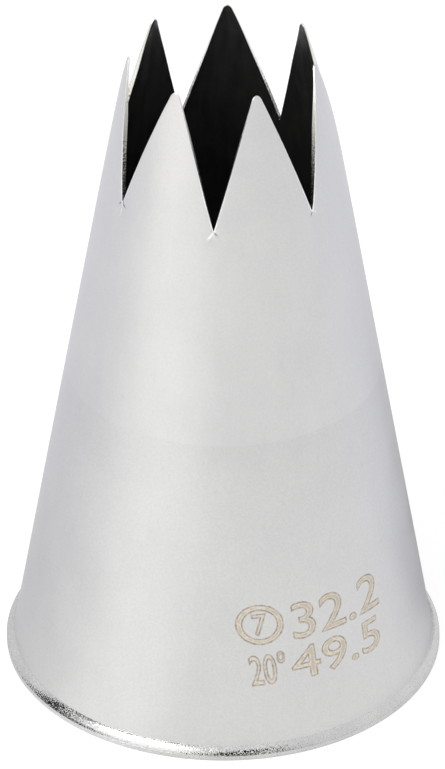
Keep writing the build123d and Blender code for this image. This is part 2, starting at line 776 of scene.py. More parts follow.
@dataclass(frozen=True)
class MarkedSatin(SatinFinish):
    """The satin of the lower cone, with the straw-coloured laser mark and painted shade below the seam.

    The mark's own widths and ramps are in millimetres from its outlines, negative inside a stroke.
    """

    tone: float = 0.66
    grain_depth: float = 4.0
    grain_contrast: float = 0.05
    fill: Colour = (0.58, 0.52, 0.43, 1.0)
    inner: Colour = (0.75, 0.69, 0.6, 1.0)
    line: Colour = (0.28, 0.235, 0.19, 1.0)
    halo: Colour = (0.72, 0.70, 0.665, 1.0)
    line_half_width: float = 0.11
    line_share: Ramp = Ramp(0.3, 0.65, 0.45, 0.9)
    halo_share: Ramp = Ramp(0.0, 0.24, 0.6, 0.0)
    fill_share: Ramp = Ramp(-0.04, 0.04, 0.95, 0.0)
    inner_share: Ramp = Ramp(-0.18, -0.09, 0.0, 1.0)
    mark_roughness: Ramp = Ramp(-0.03, 0.05, 0.1, 0.0)
    wobble: float = 0.03
    wobble_size: float = 0.09 * MM
    patch_wobble: float = 0.05
    patch_size: float = 0.35 * MM
    # Painted shade just below the seam, strongest at the seam and towards +X.
    seam_shade_up: Ramp = Ramp(16.0 * MM, 24.0 * MM, 0.0, 0.08)
    seam_shade_aside: Ramp = Ramp(-8.0 * MM, 3.0 * MM, 0.4, 1.0)
    seam_shade_tone: float = 0.6

    def dress(self, nodes: Nodes, coat: Coat) -> Coat:
        """Adds the mark and the painted shade below the seam.

        The mark follows the mesh's distance to its outlines: straw in the middle of a stroke, paler beside
        its outlines, brown on them, and a pale halo that fades outwards.

        Args:
            nodes: the material's node sheet.
            coat: the plain satin.

        Returns:
            The satin with the mark on it.
        """
        # Painted shade below the seam.
        seam_shade = nodes.product(
            nodes.ramp(nodes.axis("Z", nodes.position()), *self.seam_shade_up),
            nodes.ramp(nodes.axis("X", nodes.position()), *self.seam_shade_aside),
        )
        colour = nodes.mix(seam_shade, coat.colour, grey(self.tone * self.seam_shade_tone))
        wobble = nodes.swing(nodes.noise(self.wobble_size, detail=1.0), 0.0, self.wobble, smooth=False)
        distance = nodes.total(nodes.carried(PointValue.MARK), wobble)
        patch = nodes.noise(self.patch_size, detail=1.0)
        colour = nodes.mix(nodes.ramp(distance, *self.halo_share), colour, self.halo)
        uneven = nodes.total(distance, nodes.swing(patch, 0.0, self.patch_wobble, smooth=False))
        straw = nodes.mix(nodes.ramp(uneven, *self.inner_share), self.fill, self.inner)
        colour = nodes.mix(nodes.ramp(distance, *self.fill_share), colour, straw)
        line = nodes.product(
            nodes.ramp(nodes.math("ABSOLUTE", distance), 0.0, self.line_half_width, 1.0, 0.0),
            nodes.ramp(patch, *self.line_share),
        )
        colour = nodes.mix(line, colour, self.line)
        roughness = nodes.total(coat.roughness, nodes.ramp(distance, *self.mark_roughness))
        return Coat(colour, roughness, coat.height)


@dataclass(frozen=True)
class BoreFinish(MetalFinish):
    """The inside, smooth from the press punch, painted dark as a stand-in for the shade inside the nozzle."""

    # Low tone and weak edge tint are painted shade: the inside is the same steel as the outside.
    tone: float = 0.38
    roughness: float = 0.22
    metallic: float = 0.97
    edge_tint: float = 0.25
    warmth: float = 0.02
    cloud_size: float = 2.5 * MM
    cloud_contrast: float = 0.1
    draw_size: float = 0.8 * MM
    draw_stretch: Triple = (1.0, 1.0, 0.12)
    draw_swing: float = 0.04
    draw_depth: float = 1.5

    def coat(self, nodes: Nodes) -> Coat:
        """Lays slow dark clouds, and draw marks that run up the sheet.

        Args:
            nodes: the material's node sheet.

        Returns:
            The coat.
        """
        cloud = nodes.ramp(nodes.noise(self.cloud_size, detail=3.0), *NOISE_SPAN, 0.0, 1.0)
        draw = nodes.noise(self.draw_size, stretch=self.draw_stretch)
        darkest = grey(self.tone * (1 - self.cloud_contrast), -self.warmth)
        lightest = grey(self.tone * (1 + self.cloud_contrast), self.warmth)
        roughness = nodes.swing(draw, self.roughness, self.draw_swing)
        return Coat(nodes.mix(cloud, darkest, lightest), roughness, nodes.product(draw, self.draw_depth))


@dataclass(frozen=True)
class CutFinish(MetalFinish):
    """Bare sheared steel on the cuts: bright and streaked, and darker towards the roots."""

    tone: float = 0.9
    roughness: float = 0.28
    warmth: float = 0.03
    warmest: float = 0.08
    warmest_tone: float = 0.95
    patch_size: float = 1.1 * MM
    patch_share: Ramp = Ramp(0.4, 0.65, 0.0, 1.0)
    streak_size: float = 0.11 * MM
    streak_depth: float = 8.0
    # The dark share grows from the points down to the roots.
    darker_to_roots: Ramp = Ramp(47.0 * MM, 41.0 * MM, 0.0, 0.34)
    dark_share: Ramp = Ramp(0.16, 0.36, 0.9, 0.0)
    dark_tone: float = 0.07

    def coat(self, nodes: Nodes) -> Coat:
        """Lays streaks and warm patches, whose dark share grows down to the roots.

        Args:
            nodes: the material's node sheet.

        Returns:
            The coat.
        """
        streak = nodes.noise(self.streak_size)
        patch = nodes.ramp(nodes.noise(self.patch_size), *self.patch_share)
        darker_to_roots = nodes.ramp(nodes.axis("Z", nodes.position()), *self.darker_to_roots)
        warm = grey(self.tone * self.warmest_tone, self.warmest)
        bright = nodes.mix(patch, grey(self.tone, self.warmth), warm)
        dark = nodes.ramp(nodes.math("SUBTRACT", streak, darker_to_roots), *self.dark_share)
        colour = nodes.mix(dark, bright, grey(self.dark_tone, self.warmest))
        return Coat(colour, self.roughness, nodes.product(streak, self.streak_depth))


@dataclass(frozen=True)
class EdgeHighlightFinish(MetalFinish):
    """The narrow rounded edge between the outside and a cut, with a painted highlight."""

    tone: float = 0.7
    roughness: float = 0.28
    # Painted highlight tone towards the roots; the plain tone near the points. The nicks are the edge's own.
    edge_highlight_tone: float = 0.95
    plain: Ramp = Ramp(43.0 * MM, 46.5 * MM, 0.0, 1.0)
    nick_size: float = 0.2 * MM
    nick_share: Ramp = Ramp(0.28, 0.42, 0.6, 0.0)
    nick_tone: float = 0.5
    nick_warmth: float = 0.03
    nick_depth: float = 4.0

    def coat(self, nodes: Nodes) -> Coat:
        """Lays a painted highlight, brightest towards the roots, with small dark nicks.

        Args:
            nodes: the material's node sheet.

        Returns:
            The coat.
        """
        nick = nodes.noise(self.nick_size)
        plain = nodes.ramp(nodes.axis("Z", nodes.position()), *self.plain)
        colour = nodes.mix(plain, grey(self.edge_highlight_tone), grey(self.tone))
        nick_colour = grey(self.tone * self.nick_tone, self.nick_warmth)
        colour = nodes.mix(nodes.ramp(nick, *self.nick_share), colour, nick_colour)
        return Coat(colour, self.roughness, nodes.product(nick, self.nick_depth))


@dataclass(frozen=True)
class PolishedFinish(MetalFinish):
    """The rim's bright finish, whose orange peel and fine matt specks break dark reflections up."""

    tone: float = 0.67
    roughness: float = 0.07
    warmth: float = 0.01
    cloud_size: float = 3.0 * MM
    cloud_contrast: float = 0.04
    speckle_size: float = 0.1 * MM
    speckle_depth: float = 9.0
    speck_size: float = 0.085 * MM
    speck_stretch: Triple = (1.0, 1.0, 0.93)
    speck_contrast: float = 0.055
    pit_share: Ramp = Ramp(0.28, 0.44, 0.14, 0.0)
    pit_tone: float = 0.3
    matt_cloud: float = 0.3
    matt_span: Pair = (0.62, 0.74)
    matt_roughness: float = 0.62

    def coat(self, nodes: Nodes) -> Coat:
        """Lays orange peel with dark pits and matt specks, over slow clouds.

        Args:
            nodes: the material's node sheet.

        Returns:
            The coat.
        """
        speckle = nodes.noise(self.speckle_size, detail=0.0)
        speck = nodes.noise(self.speck_size, detail=1.0, stretch=self.speck_stretch)
        cloud = nodes.noise(self.cloud_size)
        change = nodes.total(
            nodes.swing(cloud, 0.0, self.cloud_contrast), nodes.swing(speck, 0.0, self.speck_contrast)
        )
        colour = self.shaded(nodes, change, self.cloud_contrast + self.speck_contrast, self.warmth)
        pit = nodes.ramp(speckle, *self.pit_share)
        colour = nodes.mix(pit, colour, grey(self.tone * self.pit_tone))
        matt = nodes.total(nodes.product(cloud, self.matt_cloud), speck)
        roughness = nodes.ramp(matt, *self.matt_span, self.roughness, self.matt_roughness)
        return Coat(colour, roughness, nodes.product(speckle, self.speckle_depth))


# Pieces


@dataclass
class ToothedCone:
    """Upper cone with its seven teeth, as one closed shell whose section runs over the cut edges.

    Cut 0 faces -Y and tooth 0 follows it towards +X. Asides in degrees, and bends and lifts in millimetres,
    are the small differences of the teeth and cuts from their even places.
    """

    form: ConeForm
    teeth: int = 7
    notch_angle: float = math.radians(32.0)
    tip_radius: float = 0.4 * MM
    tip_honing: float = 0.6
    honed_from: float = 45.0 * MM
    squareness: float = 0.88
    edge_bevel: float = 0.03 * MM
    edge_roll: float = 0.016 * MM
    roll_width: float = 0.25 * MM
    burr: float = 0.02 * MM
    bevel_share: float = 0.3
    slant_limit: float = 4.0
    half_tooth_steps: int = 62
    wall_steps: int = 60
    wall_bunching: float = 1.7
    bore_steps: int = 16
    bore_bunching: float = 1.3
    bevel_steps: int = 4
    cut_rounds: int = 40
    cut_aside: tuple[float, ...] = (-0.5, -0.6, 2.7, 1.1, 0.8, -1.3, -0.9)
    aside_share: Pair = (0.15, 0.85)
    root_lift: tuple[float, ...] = (0.01, 0.22, 0.05, 0.05, 0.26, 0.05, 0.17)
    lift_end: Pair = (1.0 * MM, 5.0 * MM)
    tip_aside: tuple[float, ...] = (-1.56, 0.0, 0.0, 1.67, 0.0, 0.0, 1.4)
    tip_bend: tuple[float, ...] = (0.06, 0.25, 0.0, 0.0, 0.0, 0.07, 0.0)
    climb_power: float = 1.6
    aside_from: float = 30.0 * MM
    dent_depth: float = 0.05 * MM
    dent_width: float = 0.36 * MM
    dent_drop: float = 0.4 * MM
    seed: int = 11

    @property
    def pitch(self) -> float:
        """Angle from one tooth to the next."""
        return 2 * math.pi / self.teeth

    @property
    def notch_slope(self) -> float:
        """Half width of a cut for each unit of height above its root."""
        return math.tan(self.notch_angle / 2)

    @property
    def ridge_rise(self) -> float:
        """Climb, for each unit outwards, of the ridge in which two neighbouring cuts meet."""
        return math.sin(self.pitch / 2) / self.notch_slope

    @property
    def ridge_half_angle(self) -> float:
        """Half the angle between two neighbouring cuts, measured square to their ridge."""
        return math.acos(math.cos(self.pitch / 2) * math.cos(self.notch_angle / 2))

    @property
    def root_level(self) -> float:
        """Height of the cuts' roots, from the height of the rounded points.

        The rounding takes the radius / sine of the ridge's half angle, less the radius, off a sharp point,
        square to the ridge. The root then lies the outside's radius times the ridge's rise below it.

        Returns:
            The height above the foot.
        """
        rise, form = self.ridge_rise, self.form
        drop = self.tip_radius * (1 / math.sin(self.ridge_half_angle) - 1)
        sharp = form.height + drop * math.hypot(1, rise) / (1 + rise * form.slope)
        return sharp - form.outside(sharp) * rise

    def honed_inside(self, level: np.ndarray) -> np.ndarray:
        """Radius of the inside, which nears the outside at the points, where the sheet is honed thin."""
        honing = self.tip_honing * smooth_step(level, self.honed_from, self.form.height)
        return self.form.inside(level) + (self.form.outside(level) - self.form.inside(level)) * honing

    def cut_level(
        self, angle: np.ndarray, in_tooth: np.ndarray, radius_at: Callable[[np.ndarray], np.ndarray]
    ) -> np.ndarray:
        """Height at which the cuts leave the sheet.

        Two neighbouring cuts meet in the ridge, and each flat falls from it by the distance across over the
        tangent of the ridge's half angle. Round the ridge, square to it, a circle arc replaces both flats.
        The radius depends on the height, so the two are worked out in turn until they agree. A root is
        rounded by the hypotenuse of the height and its lift.

        Args:
            angle: angle from the middle of cut 0.
            in_tooth: angle from the middle of a tooth.
            radius_at: gives the sheet's radius at a height.

        Returns:
            The height at each angle.
        """
        level = np.full_like(in_tooth, self.root_level)
        lean = self.ridge_half_angle
        for _ in range(self.cut_rounds):
            radius = radius_at(level)
            across = np.abs(radius * np.sin(in_tooth))
            flat = -across / math.tan(lean)
            arc = np.sqrt(np.maximum(self.tip_radius**2 - across**2, 0.0)) - self.tip_radius / math.sin(lean)
            below = np.where(across < self.tip_radius * math.cos(lean), arc, flat)
            level = self.root_level + radius * np.cos(in_tooth) * self.ridge_rise
            level = level + below * math.hypot(1, self.ridge_rise)
        above = level - self.root_level
        lift = np.array(self.root_lift)[np.rint(angle / self.pitch).astype(int) % self.teeth] * MM
        return level + (np.hypot(above, lift) - above) * (1 - smooth_step(above, *self.lift_end))

    def angles(self) -> tuple[np.ndarray, np.ndarray]:
        """Angles round the axis, closer together at the points and roots.

        Returns:
            The angle from -Y, and the angle from the middle of the tooth that it falls in.
        """
        share = np.linspace(-1.0, 1.0, 2 * self.half_tooth_steps, endpoint=False)
        bunched = share - np.sin(2 * math.pi * share) / (4 * math.pi)
        in_tooth = np.tile(bunched * self.pitch / 2, self.teeth)
        middle = np.repeat((np.arange(self.teeth) + 0.5) * self.pitch, share.size)
        return middle + in_tooth, in_tooth

    def aside(self, angle: np.ndarray, level: np.ndarray) -> np.ndarray:
        """How far the sheet is turned from its even place.

        The turn of a cut grows from nothing, some way below the roots, and is mixed across each tooth. The
        turn of a point is added above the roots.

        Args:
            angle: angle round the axis.
            level: height above the foot.

        Returns:
            The turn to add to the angle.
        """
        turn = angle / self.pitch
        before = np.floor(turn).astype(int)
        share = smooth_step(turn - before, *self.aside_share)
        cuts = np.radians(np.array(self.cut_aside))
        mixed = cuts[before % self.teeth] * (1 - share) + cuts[(before + 1) % self.teeth] * share
        points = np.radians(np.array(self.tip_aside))[before % self.teeth] * self.climb(level)
        return mixed * smooth_step(level, self.aside_from, self.root_level) + points

    def bend(self, angle: np.ndarray, level: np.ndarray) -> np.ndarray:
        """How far each tooth is bent in towards the axis, growing up to its point."""
        tooth = np.floor(angle / self.pitch).astype(int) % self.teeth
        return np.array(self.tip_bend)[tooth] * MM * self.climb(level)

    def climb(self, level: np.ndarray) -> np.ndarray:
        """Power of the share of a tooth's height, 0 at the roots and 1 at the points."""
        share = (level - self.root_level) / (self.form.height - self.root_level)
        return np.clip(share, 0.0, 1.0) ** self.climb_power

    def dents(self, from_cut: np.ndarray, level: np.ndarray) -> np.ndarray:
        """The small pinch below each root, as a bell-shaped hollow in the sheet.

        Args:
            from_cut: distance along the sheet from the nearest cut's middle.
            level: height above the foot.

        Returns:
            How far the sheet stands out, which is negative in a dent.
        """
        down = level - (self.root_level - self.dent_drop)
        return -self.dent_depth * np.exp(-(from_cut**2 + down**2) / (2 * self.dent_width**2))

    def section(self, angle: np.ndarray, in_tooth: np.ndarray) -> tuple[Section, np.ndarray]:
        """Works out the closed section of the sheet at every angle.

        It runs up the outside, over a rounded edge, in along the flat of the cut, over the inner edge, and
        down the inside to the seam. Both rounded edges are quarter ellipses, as wide along the cut as the
        bevel, and as high as makes the bevel as wide when measured square to a slanting edge. Just below the
        outer edge the sheet rolls in by the square of its nearness to the edge.

        Args:
            angle: angles round the axis.
            in_tooth: the same angles, from the middle of the tooth.

        Returns:
            The section, and every point's distance below the cut, measured square to the cut.
        """
        form = self.form
        outer = self.cut_level(angle, in_tooth, form.outside)
        jag = np.random.default_rng(self.seed).normal(0.0, 1.0, angle.size)
        jag = (np.roll(jag, 1) + 2 * jag + np.roll(jag, -1)) / 4 * self.burr
        outer = outer + np.minimum(jag, 0.0)
        inner = self.cut_level(angle, in_tooth, self.honed_inside)
        inner = inner + (outer - inner) * self.squareness
        slant = np.hypot(1.0, np.gradient(outer) / (np.gradient(angle) * form.outside(outer)))
        slant = np.minimum(slant, self.slant_limit)[:, None]
        outer, inner = outer[:, None], inner[:, None]
        drop = self.edge_bevel * slant
        out_radius, in_radius = form.outside(outer), self.honed_inside(inner)
        bevel = np.minimum(self.edge_bevel, self.bevel_share * (out_radius - in_radius))
        tilt = (outer - inner) / (out_radius - in_radius)
        quarter = np.linspace(0.0, math.pi / 2, self.bevel_steps + 1)
        rise, fall = 1 - np.sin(quarter), 1 - np.cos(quarter)

        def rolled(level: np.ndarray) -> np.ndarray:
            """Radius of the outside with its rolled edge."""
            near = np.clip(1 - (outer - level) / slant / self.roll_width, 0.0, 1.0)
            return form.outside(level) - self.edge_roll * near * near

        section = Section(angle.size)
        wall = 1 - np.linspace(1.0, 0.0, self.wall_steps, endpoint=False) ** self.wall_bunching
        wall = form.seam + (outer - drop - form.seam) * wall
        section.add(rolled(wall), wall, Side.OUTSIDE, crisp=(True, False))
        edge = outer - drop * rise
        section.add(rolled(edge) - bevel * fall, edge - bevel * tilt * fall, Side.EDGE, Side.CUT)
        top_radius, end_radius = out_radius - self.edge_roll - bevel, in_radius + bevel
        across = np.linspace(0.0, 1.0, self.bevel_steps + 1)[1:-1]
        flat = top_radius + (end_radius - top_radius) * across
        section.add(flat, outer + (flat - out_radius) * tilt, Side.CUT)
        under, inward = inner - drop * rise[::-1], bevel * fall[::-1]
        section.add(self.honed_inside(under) + inward, under + inward * tilt, Side.CUT, Side.INSIDE)
        down = np.linspace(0.0, 1.0, self.bore_steps + 1)[1:] ** self.bore_bunching
        down = inner - drop + (form.seam - inner + drop) * down
        section.add(self.honed_inside(down), down, Side.INSIDE, crisp=(False, True))
        return section, (outer - section.level) / slant

    def build(self, finishes: Finishes) -> bpy.types.Object:
        """Builds the toothed cone and lets it stand for its CAD node.

        Args:
            finishes: the material of each side.

        Returns:
            The piece.
        """
        angle, in_tooth = self.angles()
        section, from_edge = self.section(angle, in_tooth)
        angle, level = angle[:, None], section.level
        from_cut = (angle + self.pitch / 2) % self.pitch - self.pitch / 2
        from_cut = from_cut * self.form.outside(level)
        radius = section.radius + self.form.wave(angle, level) + self.dents(from_cut, level)
        radius = radius - self.bend(angle, level)
        grid = place(radius, angle + self.aside(angle, level), level)
        piece = section.ring("toothed_cone_sheet", grid, finishes)
        number = np.rint(angle / self.pitch).astype(int) % self.teeth
        root = self.root_level + np.array(self.root_lift)[number] * MM
        carry(piece, PointValue.FROM_EDGE, from_edge)
        carry(piece, PointValue.ACROSS, from_cut)
        carry(piece, PointValue.DOWN, level - root)
        carry(piece, PointValue.ROOT, np.broadcast_to(number, level.shape) * MM)
        settle(piece, "toothed_cone")
        return piece


@dataclass
class SizeMark:
    """The laser mark on the lower cone, plain sizes in millimetres and the number of teeth in a ring.

    A row is its words and the left, right, lower and upper end of its box on the unrolled sheet.
    """

    form: ConeForm
    middle: float = math.radians(36.4)
    ring_at: tuple[float, float] = (-4.84 * MM, 10.2 * MM)
    ring_radii: tuple[float, ...] = (1.72 * MM, 1.3 * MM)
    ring_squash: float = 0.88
    rows: tuple[tuple[str, float, float, float, float], ...] = (
        ("7", -5.34 * MM, -4.34 * MM, 9.4 * MM, 11.0 * MM),
        ("32.2", -2.45 * MM, 5.35 * MM, 8.6 * MM, 11.4 * MM),
        ("20°", -6.05 * MM, -3.4 * MM, 5.5 * MM, 7.95 * MM),
        ("49.5", -2.95 * MM, 4.95 * MM, 5.45 * MM, 7.95 * MM),
    )
    boldness: float = 0.004
    bend_steps: int = 5
    ring_steps: int = 72
    reach: float = 0.4 * MM
    chunk: int = 4000
    depth: float = 14.0 * MICRON
    between: float = 0.5
    line_width: float = 0.06 * MM
    lowest: float = 4.9 * MM
    highest: float = 12.6 * MM
    leftmost: float = math.radians(7.0)
    rightmost: float = math.radians(61.5)
    lean: float = -0.05

    def row_edges(self, row: tuple[str, float, float, float, float]) -> np.ndarray:
        """Outlines of a row of numbers, from the built-in number shapes, stretched to the row's box.

        Args:
            row: the words, and the left, right, lower and upper end of the row.

        Returns:
            The outlines' short edges, shape (n, 2 ends, 2).
        """
        words, left, right, low, high = row
        curve = bpy.data.curves.new("mark_row", "FONT")
        curve.body = words
        curve.resolution_u = self.bend_steps
        curve.offset = self.boldness
        holder = put_in_scene("mark_row", curve)
        flat = bpy.data.meshes.new_from_object(holder.evaluated_get(bpy.context.evaluated_depsgraph_get()))
        points = points_of(flat)[:, :2]
        edges = np.zeros(len(flat.edges) * 2, dtype=np.int32)
        flat.edges.foreach_get("vertices", edges)
        used = np.zeros(len(flat.loops), dtype=np.int32)
        flat.loops.foreach_get("edge_index", used)
        border = np.bincount(used, minlength=len(flat.edges)) == 1
        edges = edges.reshape(-1, 2)[border]
        bpy.data.objects.remove(holder)
        bpy.data.curves.remove(curve)
        bpy.data.meshes.remove(flat)
        lowest, highest = points.min(0), points.max(0)
        scale = np.array([right - left, high - low]) / (highest - lowest)
        return (points[edges] - lowest) * scale + np.array([left, low])

    def ring_edges(self) -> np.ndarray:
        """Outer and inner outline of the ring: circles whose height is squashed a little.

        Returns:
            The outlines' short edges, shape (n, 2 ends, 2).
        """
        turn = np.linspace(0.0, 2 * math.pi, self.ring_steps, endpoint=False)
        circle = np.stack((np.cos(turn), self.ring_squash * np.sin(turn)), axis=-1)
        edges = np.stack((circle, np.roll(circle, -1, axis=0)), axis=1)
        return np.concatenate([edges * radius for radius in self.ring_radii]) + np.array(self.ring_at)

    def edges(self) -> np.ndarray:
        """All outlines of the mark, leant a little to the left.

        Returns:
            Their short edges, shape (n, 2 ends, 2).
        """
        edges = np.concatenate([*(self.row_edges(row) for row in self.rows), self.ring_edges()])
        edges[..., 0] += self.lean * (edges[..., 1] - self.lowest)
        return edges

    def distance(self, angle: np.ndarray, level: np.ndarray) -> np.ndarray:
        """Distance to the nearest outline on the unrolled sheet, negative inside a stroke.

        A point is inside where a level line from it to the right crosses the outlines an odd number of times.

        Args:
            angle: angle round the axis.
            level: height above the foot.

        Returns:
            The distance, held at the mark's reach.
        """
        angle, level = np.broadcast_arrays(angle, level)
        spot = np.stack(((angle - self.middle) * self.form.outside(level), level), axis=-1).reshape(-1, 2)
        result = np.full(len(spot), self.reach)
        edges = self.edges()
        start, end = edges[:, 0], edges[:, 1]
        along = end - start
        low, high = edges.min((0, 1)) - self.reach, edges.max((0, 1)) + self.reach
        numbers = np.flatnonzero(np.all((spot > low) & (spot < high), axis=1))
        for chunk in np.array_split(numbers, max(1, len(numbers) // self.chunk)):
            point = spot[chunk][:, None]
            share = np.clip(np.sum((point - start) * along, axis=2) / np.sum(along * along, axis=1), 0.0, 1.0)
            away = np.linalg.norm(start + share[..., None] * along - point, axis=2).min(axis=1)
            spans = (start[:, 1] > point[..., 1]) != (end[:, 1] > point[..., 1])
            rise = np.where(np.abs(along[:, 1]) > 0.0, along[:, 1], 1.0)
            crossing = start[:, 0] + (point[..., 1] - start[:, 1]) / rise * along[:, 0]
            inside = np.sum(spans & (crossing > point[..., 0]), axis=1) % 2 == 1
            result[chunk] = np.where(inside, -1.0, 1.0) * np.minimum(away, self.reach)
        return result.reshape(angle.shape)

    def hollow(self, distance: np.ndarray) -> np.ndarray:
        """How far the burnt strokes stand out: a bell-shaped hollow along their outlines, shallower between.

        Args:
            distance: distance to the nearest outline, negative inside a stroke.

        Returns:
            The hollow, below 0.
        """
        line = np.exp(-((distance / self.line_width) ** 2))
        between = self.between * (1 - smooth_step(distance, -self.line_width / 2, self.line_width / 2))
        return -self.depth * np.maximum(line, between) * (distance < self.reach)


@dataclass
class LowerCone:
    """Lower cone from the rim to the seam, with the laser mark sunk into its outside."""

    form: ConeForm
    mark: SizeMark
    mark_step: float = 0.075 * MM
    plain_step: float = math.radians(1.6)
    foot_steps: int = 10
    upper_steps: int = 26
    bore_steps: int = 14

    def build(self, finishes: Finishes) -> bpy.types.Object:
        """Builds the lower cone, up the outside and down the inside, and lets it stand for its CAD node.

        Args:
            finishes: the material of each side.

        Returns:
            The piece.
        """
        form, mark = self.form, self.mark
        around = round((mark.rightmost - mark.leftmost) * form.foot_radius / self.mark_step)
        rest = mark.leftmost + 2 * math.pi
        steps = round((rest - mark.rightmost) / self.plain_step)
        angle = graded([(mark.leftmost, mark.rightmost, around), (mark.rightmost, rest, steps)])[:-1, None]
        marked_steps = round((mark.highest - mark.lowest) / self.mark_step)
        up = graded(
            [
                (form.rim_height, mark.lowest, self.foot_steps),
                (mark.lowest, mark.highest, marked_steps),
                (mark.highest, form.seam, self.upper_steps),
            ]
        )
        down = np.linspace(form.seam, form.rim_height, self.bore_steps + 1)
        section = Section(angle.size)
        section.add(form.outside(up), up, Side.OUTSIDE, crisp=(True, True))
        section.add(form.inside(down), down, Side.INSIDE, crisp=(True, True))
        distance = np.full(section.level.shape, mark.reach)
        distance[:, : up.size] = mark.distance(angle, up[None, :])
        radius = section.radius + form.wave(angle, section.level) + mark.hollow(distance)
        piece = section.ring("lower_cone_sheet", place(radius, angle, section.level), finishes)
        carry(piece, PointValue.MARK, distance)
        settle(piece, "lower_cone")
        return piece


@dataclass
class FlaredRim:
    """Polished rim turned outwards, with its flat foot."""

    form: ConeForm
    inside_bend: float = 0.7 * MM
    lip_edge: float = 0.03 * MM
    lip_bevel: float = 0.01 * MM
    foot_bevel: float = 0.06 * MM
    half_sweep: float = math.radians(23.0)
    straight: float = 0.04 * MM
    top_bevel: float = 0.014 * MM
    inner_bevel: float = 0.004 * MM
    around: int = 720
    arc_steps: int = 12

    def build(self, finishes: Finishes) -> bpy.types.Object:
        """Builds the rim from its rounded section, turned round the axis, and lets it stand for its CAD node.

        The flare is one arc between the cone and the lip. Its corner lies on the middle line between them,
        where both straights turn away from the line to the ends by half the arc's sweep.

        Args:
            finishes: the material of each side.

        Returns:
            The piece.
        """
        form = self.form
        top = form.rim_height
        start = np.array((form.outside(top), top))
        end = np.array((form.rim_radius - self.lip_edge, form.foot_wall))
        across, down = end - start
        kink = (start + end) / 2 + np.array((down, -across)) / 2 * math.tan(self.half_sweep)
        reach = math.hypot(across, down) / 2 / math.cos(self.half_sweep) - self.straight
        outer_corners = [
            (form.rim_radius, 0.0, self.foot_bevel),
            (form.rim_radius, form.foot_wall, self.lip_bevel),
            (*end, self.lip_bevel),
            (*kink, reach / math.tan(self.half_sweep)),
            (*start, self.top_bevel),
        ]
        inner_corners = [(form.inside(top), top, self.inner_bevel), (form.inside(0.0), 0.0, self.inside_bend)]
        corners = np.array(outer_corners + inner_corners)
        outline = rounded_outline(corners[:, :2], corners[:, 2], self.arc_steps)
        outside, inside = np.split(outline, [len(outer_corners) * (self.arc_steps + 1)])
        section = Section(self.around)
        section.add(outside[:, 0], outside[:, 1], Side.OUTSIDE, crisp=(False, True))
        section.add(inside[:, 0], inside[:, 1], Side.INSIDE, Side.OUTSIDE, crisp=(True, False))
        angle = np.linspace(0.0, 2 * math.pi, self.around, endpoint=False)[:, None]
        piece = section.ring("flared_rim_sheet", place(section.radius, angle, section.level), finishes)
        settle(piece, "flared_rim")
        return piece


# Studio


def direction(azimuth: float, elevation: float) -> Vector:
    """Unit direction from the nozzle, in degrees from -Y towards +X and above the floor."""
    turn, rise = math.radians(azimuth), math.radians(elevation)
    return Vector((math.sin(turn) * math.cos(rise), -math.cos(turn) * math.cos(rise), math.sin(rise)))


def facing(nodes: Nodes, level: Socket, heading: float) -> Socket:
    """Cosine of the turn from a heading, in degrees, to a level direction."""
    return nodes.vector("DOT_PRODUCT", level, direction(heading, 0.0))


@dataclass(frozen=True)
class Softbox:
    """A soft lamp that faces the nozzle."""

    name: str
    azimuth: float
    elevation: float
    distance: float
    width: float
    height: float
    power: float
    tint: Triple = EVEN

    def build(self, target: Vector) -> bpy.types.Object:
        """Puts up the lamp, turned to the target.

        Args:
            target: the point that it faces.

        Returns:
            The lamp.
        """
        light = bpy.data.lights.new(self.name, "AREA")
        light.shape = "RECTANGLE"
        light.size, light.size_y = self.width, self.height
        light.energy = self.power
        light.color = self.tint
        lamp = put_in_scene(self.name, light)
        away = direction(self.azimuth, self.elevation)
        lamp.location = target + away * self.distance
        lamp.rotation_euler = away.to_track_quat("Z", "Y").to_euler()
        return lamp


@dataclass(frozen=True)
class WallPanel:
    """A soft-edged window of the surroundings, with a tone of its own.

    Heading, half width and softness are in degrees. Low and high are heights of the ray, from -1 below to 1
    overhead.
    """

    heading: float
    half_width: float
    low: float
    high: float
    tone: float
    warmth: float = 0.0
    softness: float = 7.0
    fade: float = 0.08

    def share(self, nodes: Nodes, level_ray: Socket, height: Socket) -> Socket:
        """How much of the panel a ray sees: the product of the ramps over its heading and over its height.

        Args:
            nodes: the world's node sheet.
            level_ray: the ray laid level, of length 1.
            height: the ray's height.

        Returns:
            The share from 0 to 1.
        """
        outer = math.cos(math.radians(min(self.half_width + self.softness, 180.0)))
        inner = math.cos(math.radians(self.half_width - self.softness))
        return nodes.product(
            nodes.ramp(facing(nodes, level_ray, self.heading), outer, inner, 0.0, 1.0),
            nodes.ramp(height, self.low - self.fade, self.low + self.fade, 0.0, 1.0),
            nodes.ramp(height, self.high - self.fade, self.high + self.fade, 1.0, 0.0),
        )


@dataclass(frozen=True)
class Flag:
    """A board of the surroundings, laid out by the way a mirror has to face to show it to the camera.

    All but the tone is in degrees. Left and right are headings from the camera's own, and the board lies
    above an elevation that runs from low_left at the left end to low_right at low_at.
    """

    left: float
    right: float
    tone: float
    low_left: float = 18.0
    low_right: float = 18.0
    low_at: float = 0.0
    left_softness: float = 1.0
    right_softness: float = 1.0
    fade: float = 2.0

    def share(self, nodes: Nodes, heading: Socket, elevation: Socket) -> Socket:
        """How much of the board is seen in a mirror: the product of the ramps at its ends and its lower edge.

        Args:
            nodes: the world's node sheet.
            heading: heading that the mirror faces, from the camera's own, in degrees.
            elevation: elevation that the mirror faces, in degrees.

        Returns:
            The share from 0 to 1.
        """
        left, right = self.left_softness, self.right_softness
        low = nodes.ramp(heading, self.left, self.low_at, self.low_left, self.low_right, smooth=False)
        above = nodes.math("SUBTRACT", elevation, low)
        return nodes.product(
            nodes.ramp(heading, self.left - left, self.left + left, 0.0, 1.0),
            nodes.ramp(heading, self.right - right, self.right + right, 1.0, 0.0),
            nodes.ramp(above, -self.fade, self.fade, 0.0, 1.0),
        )


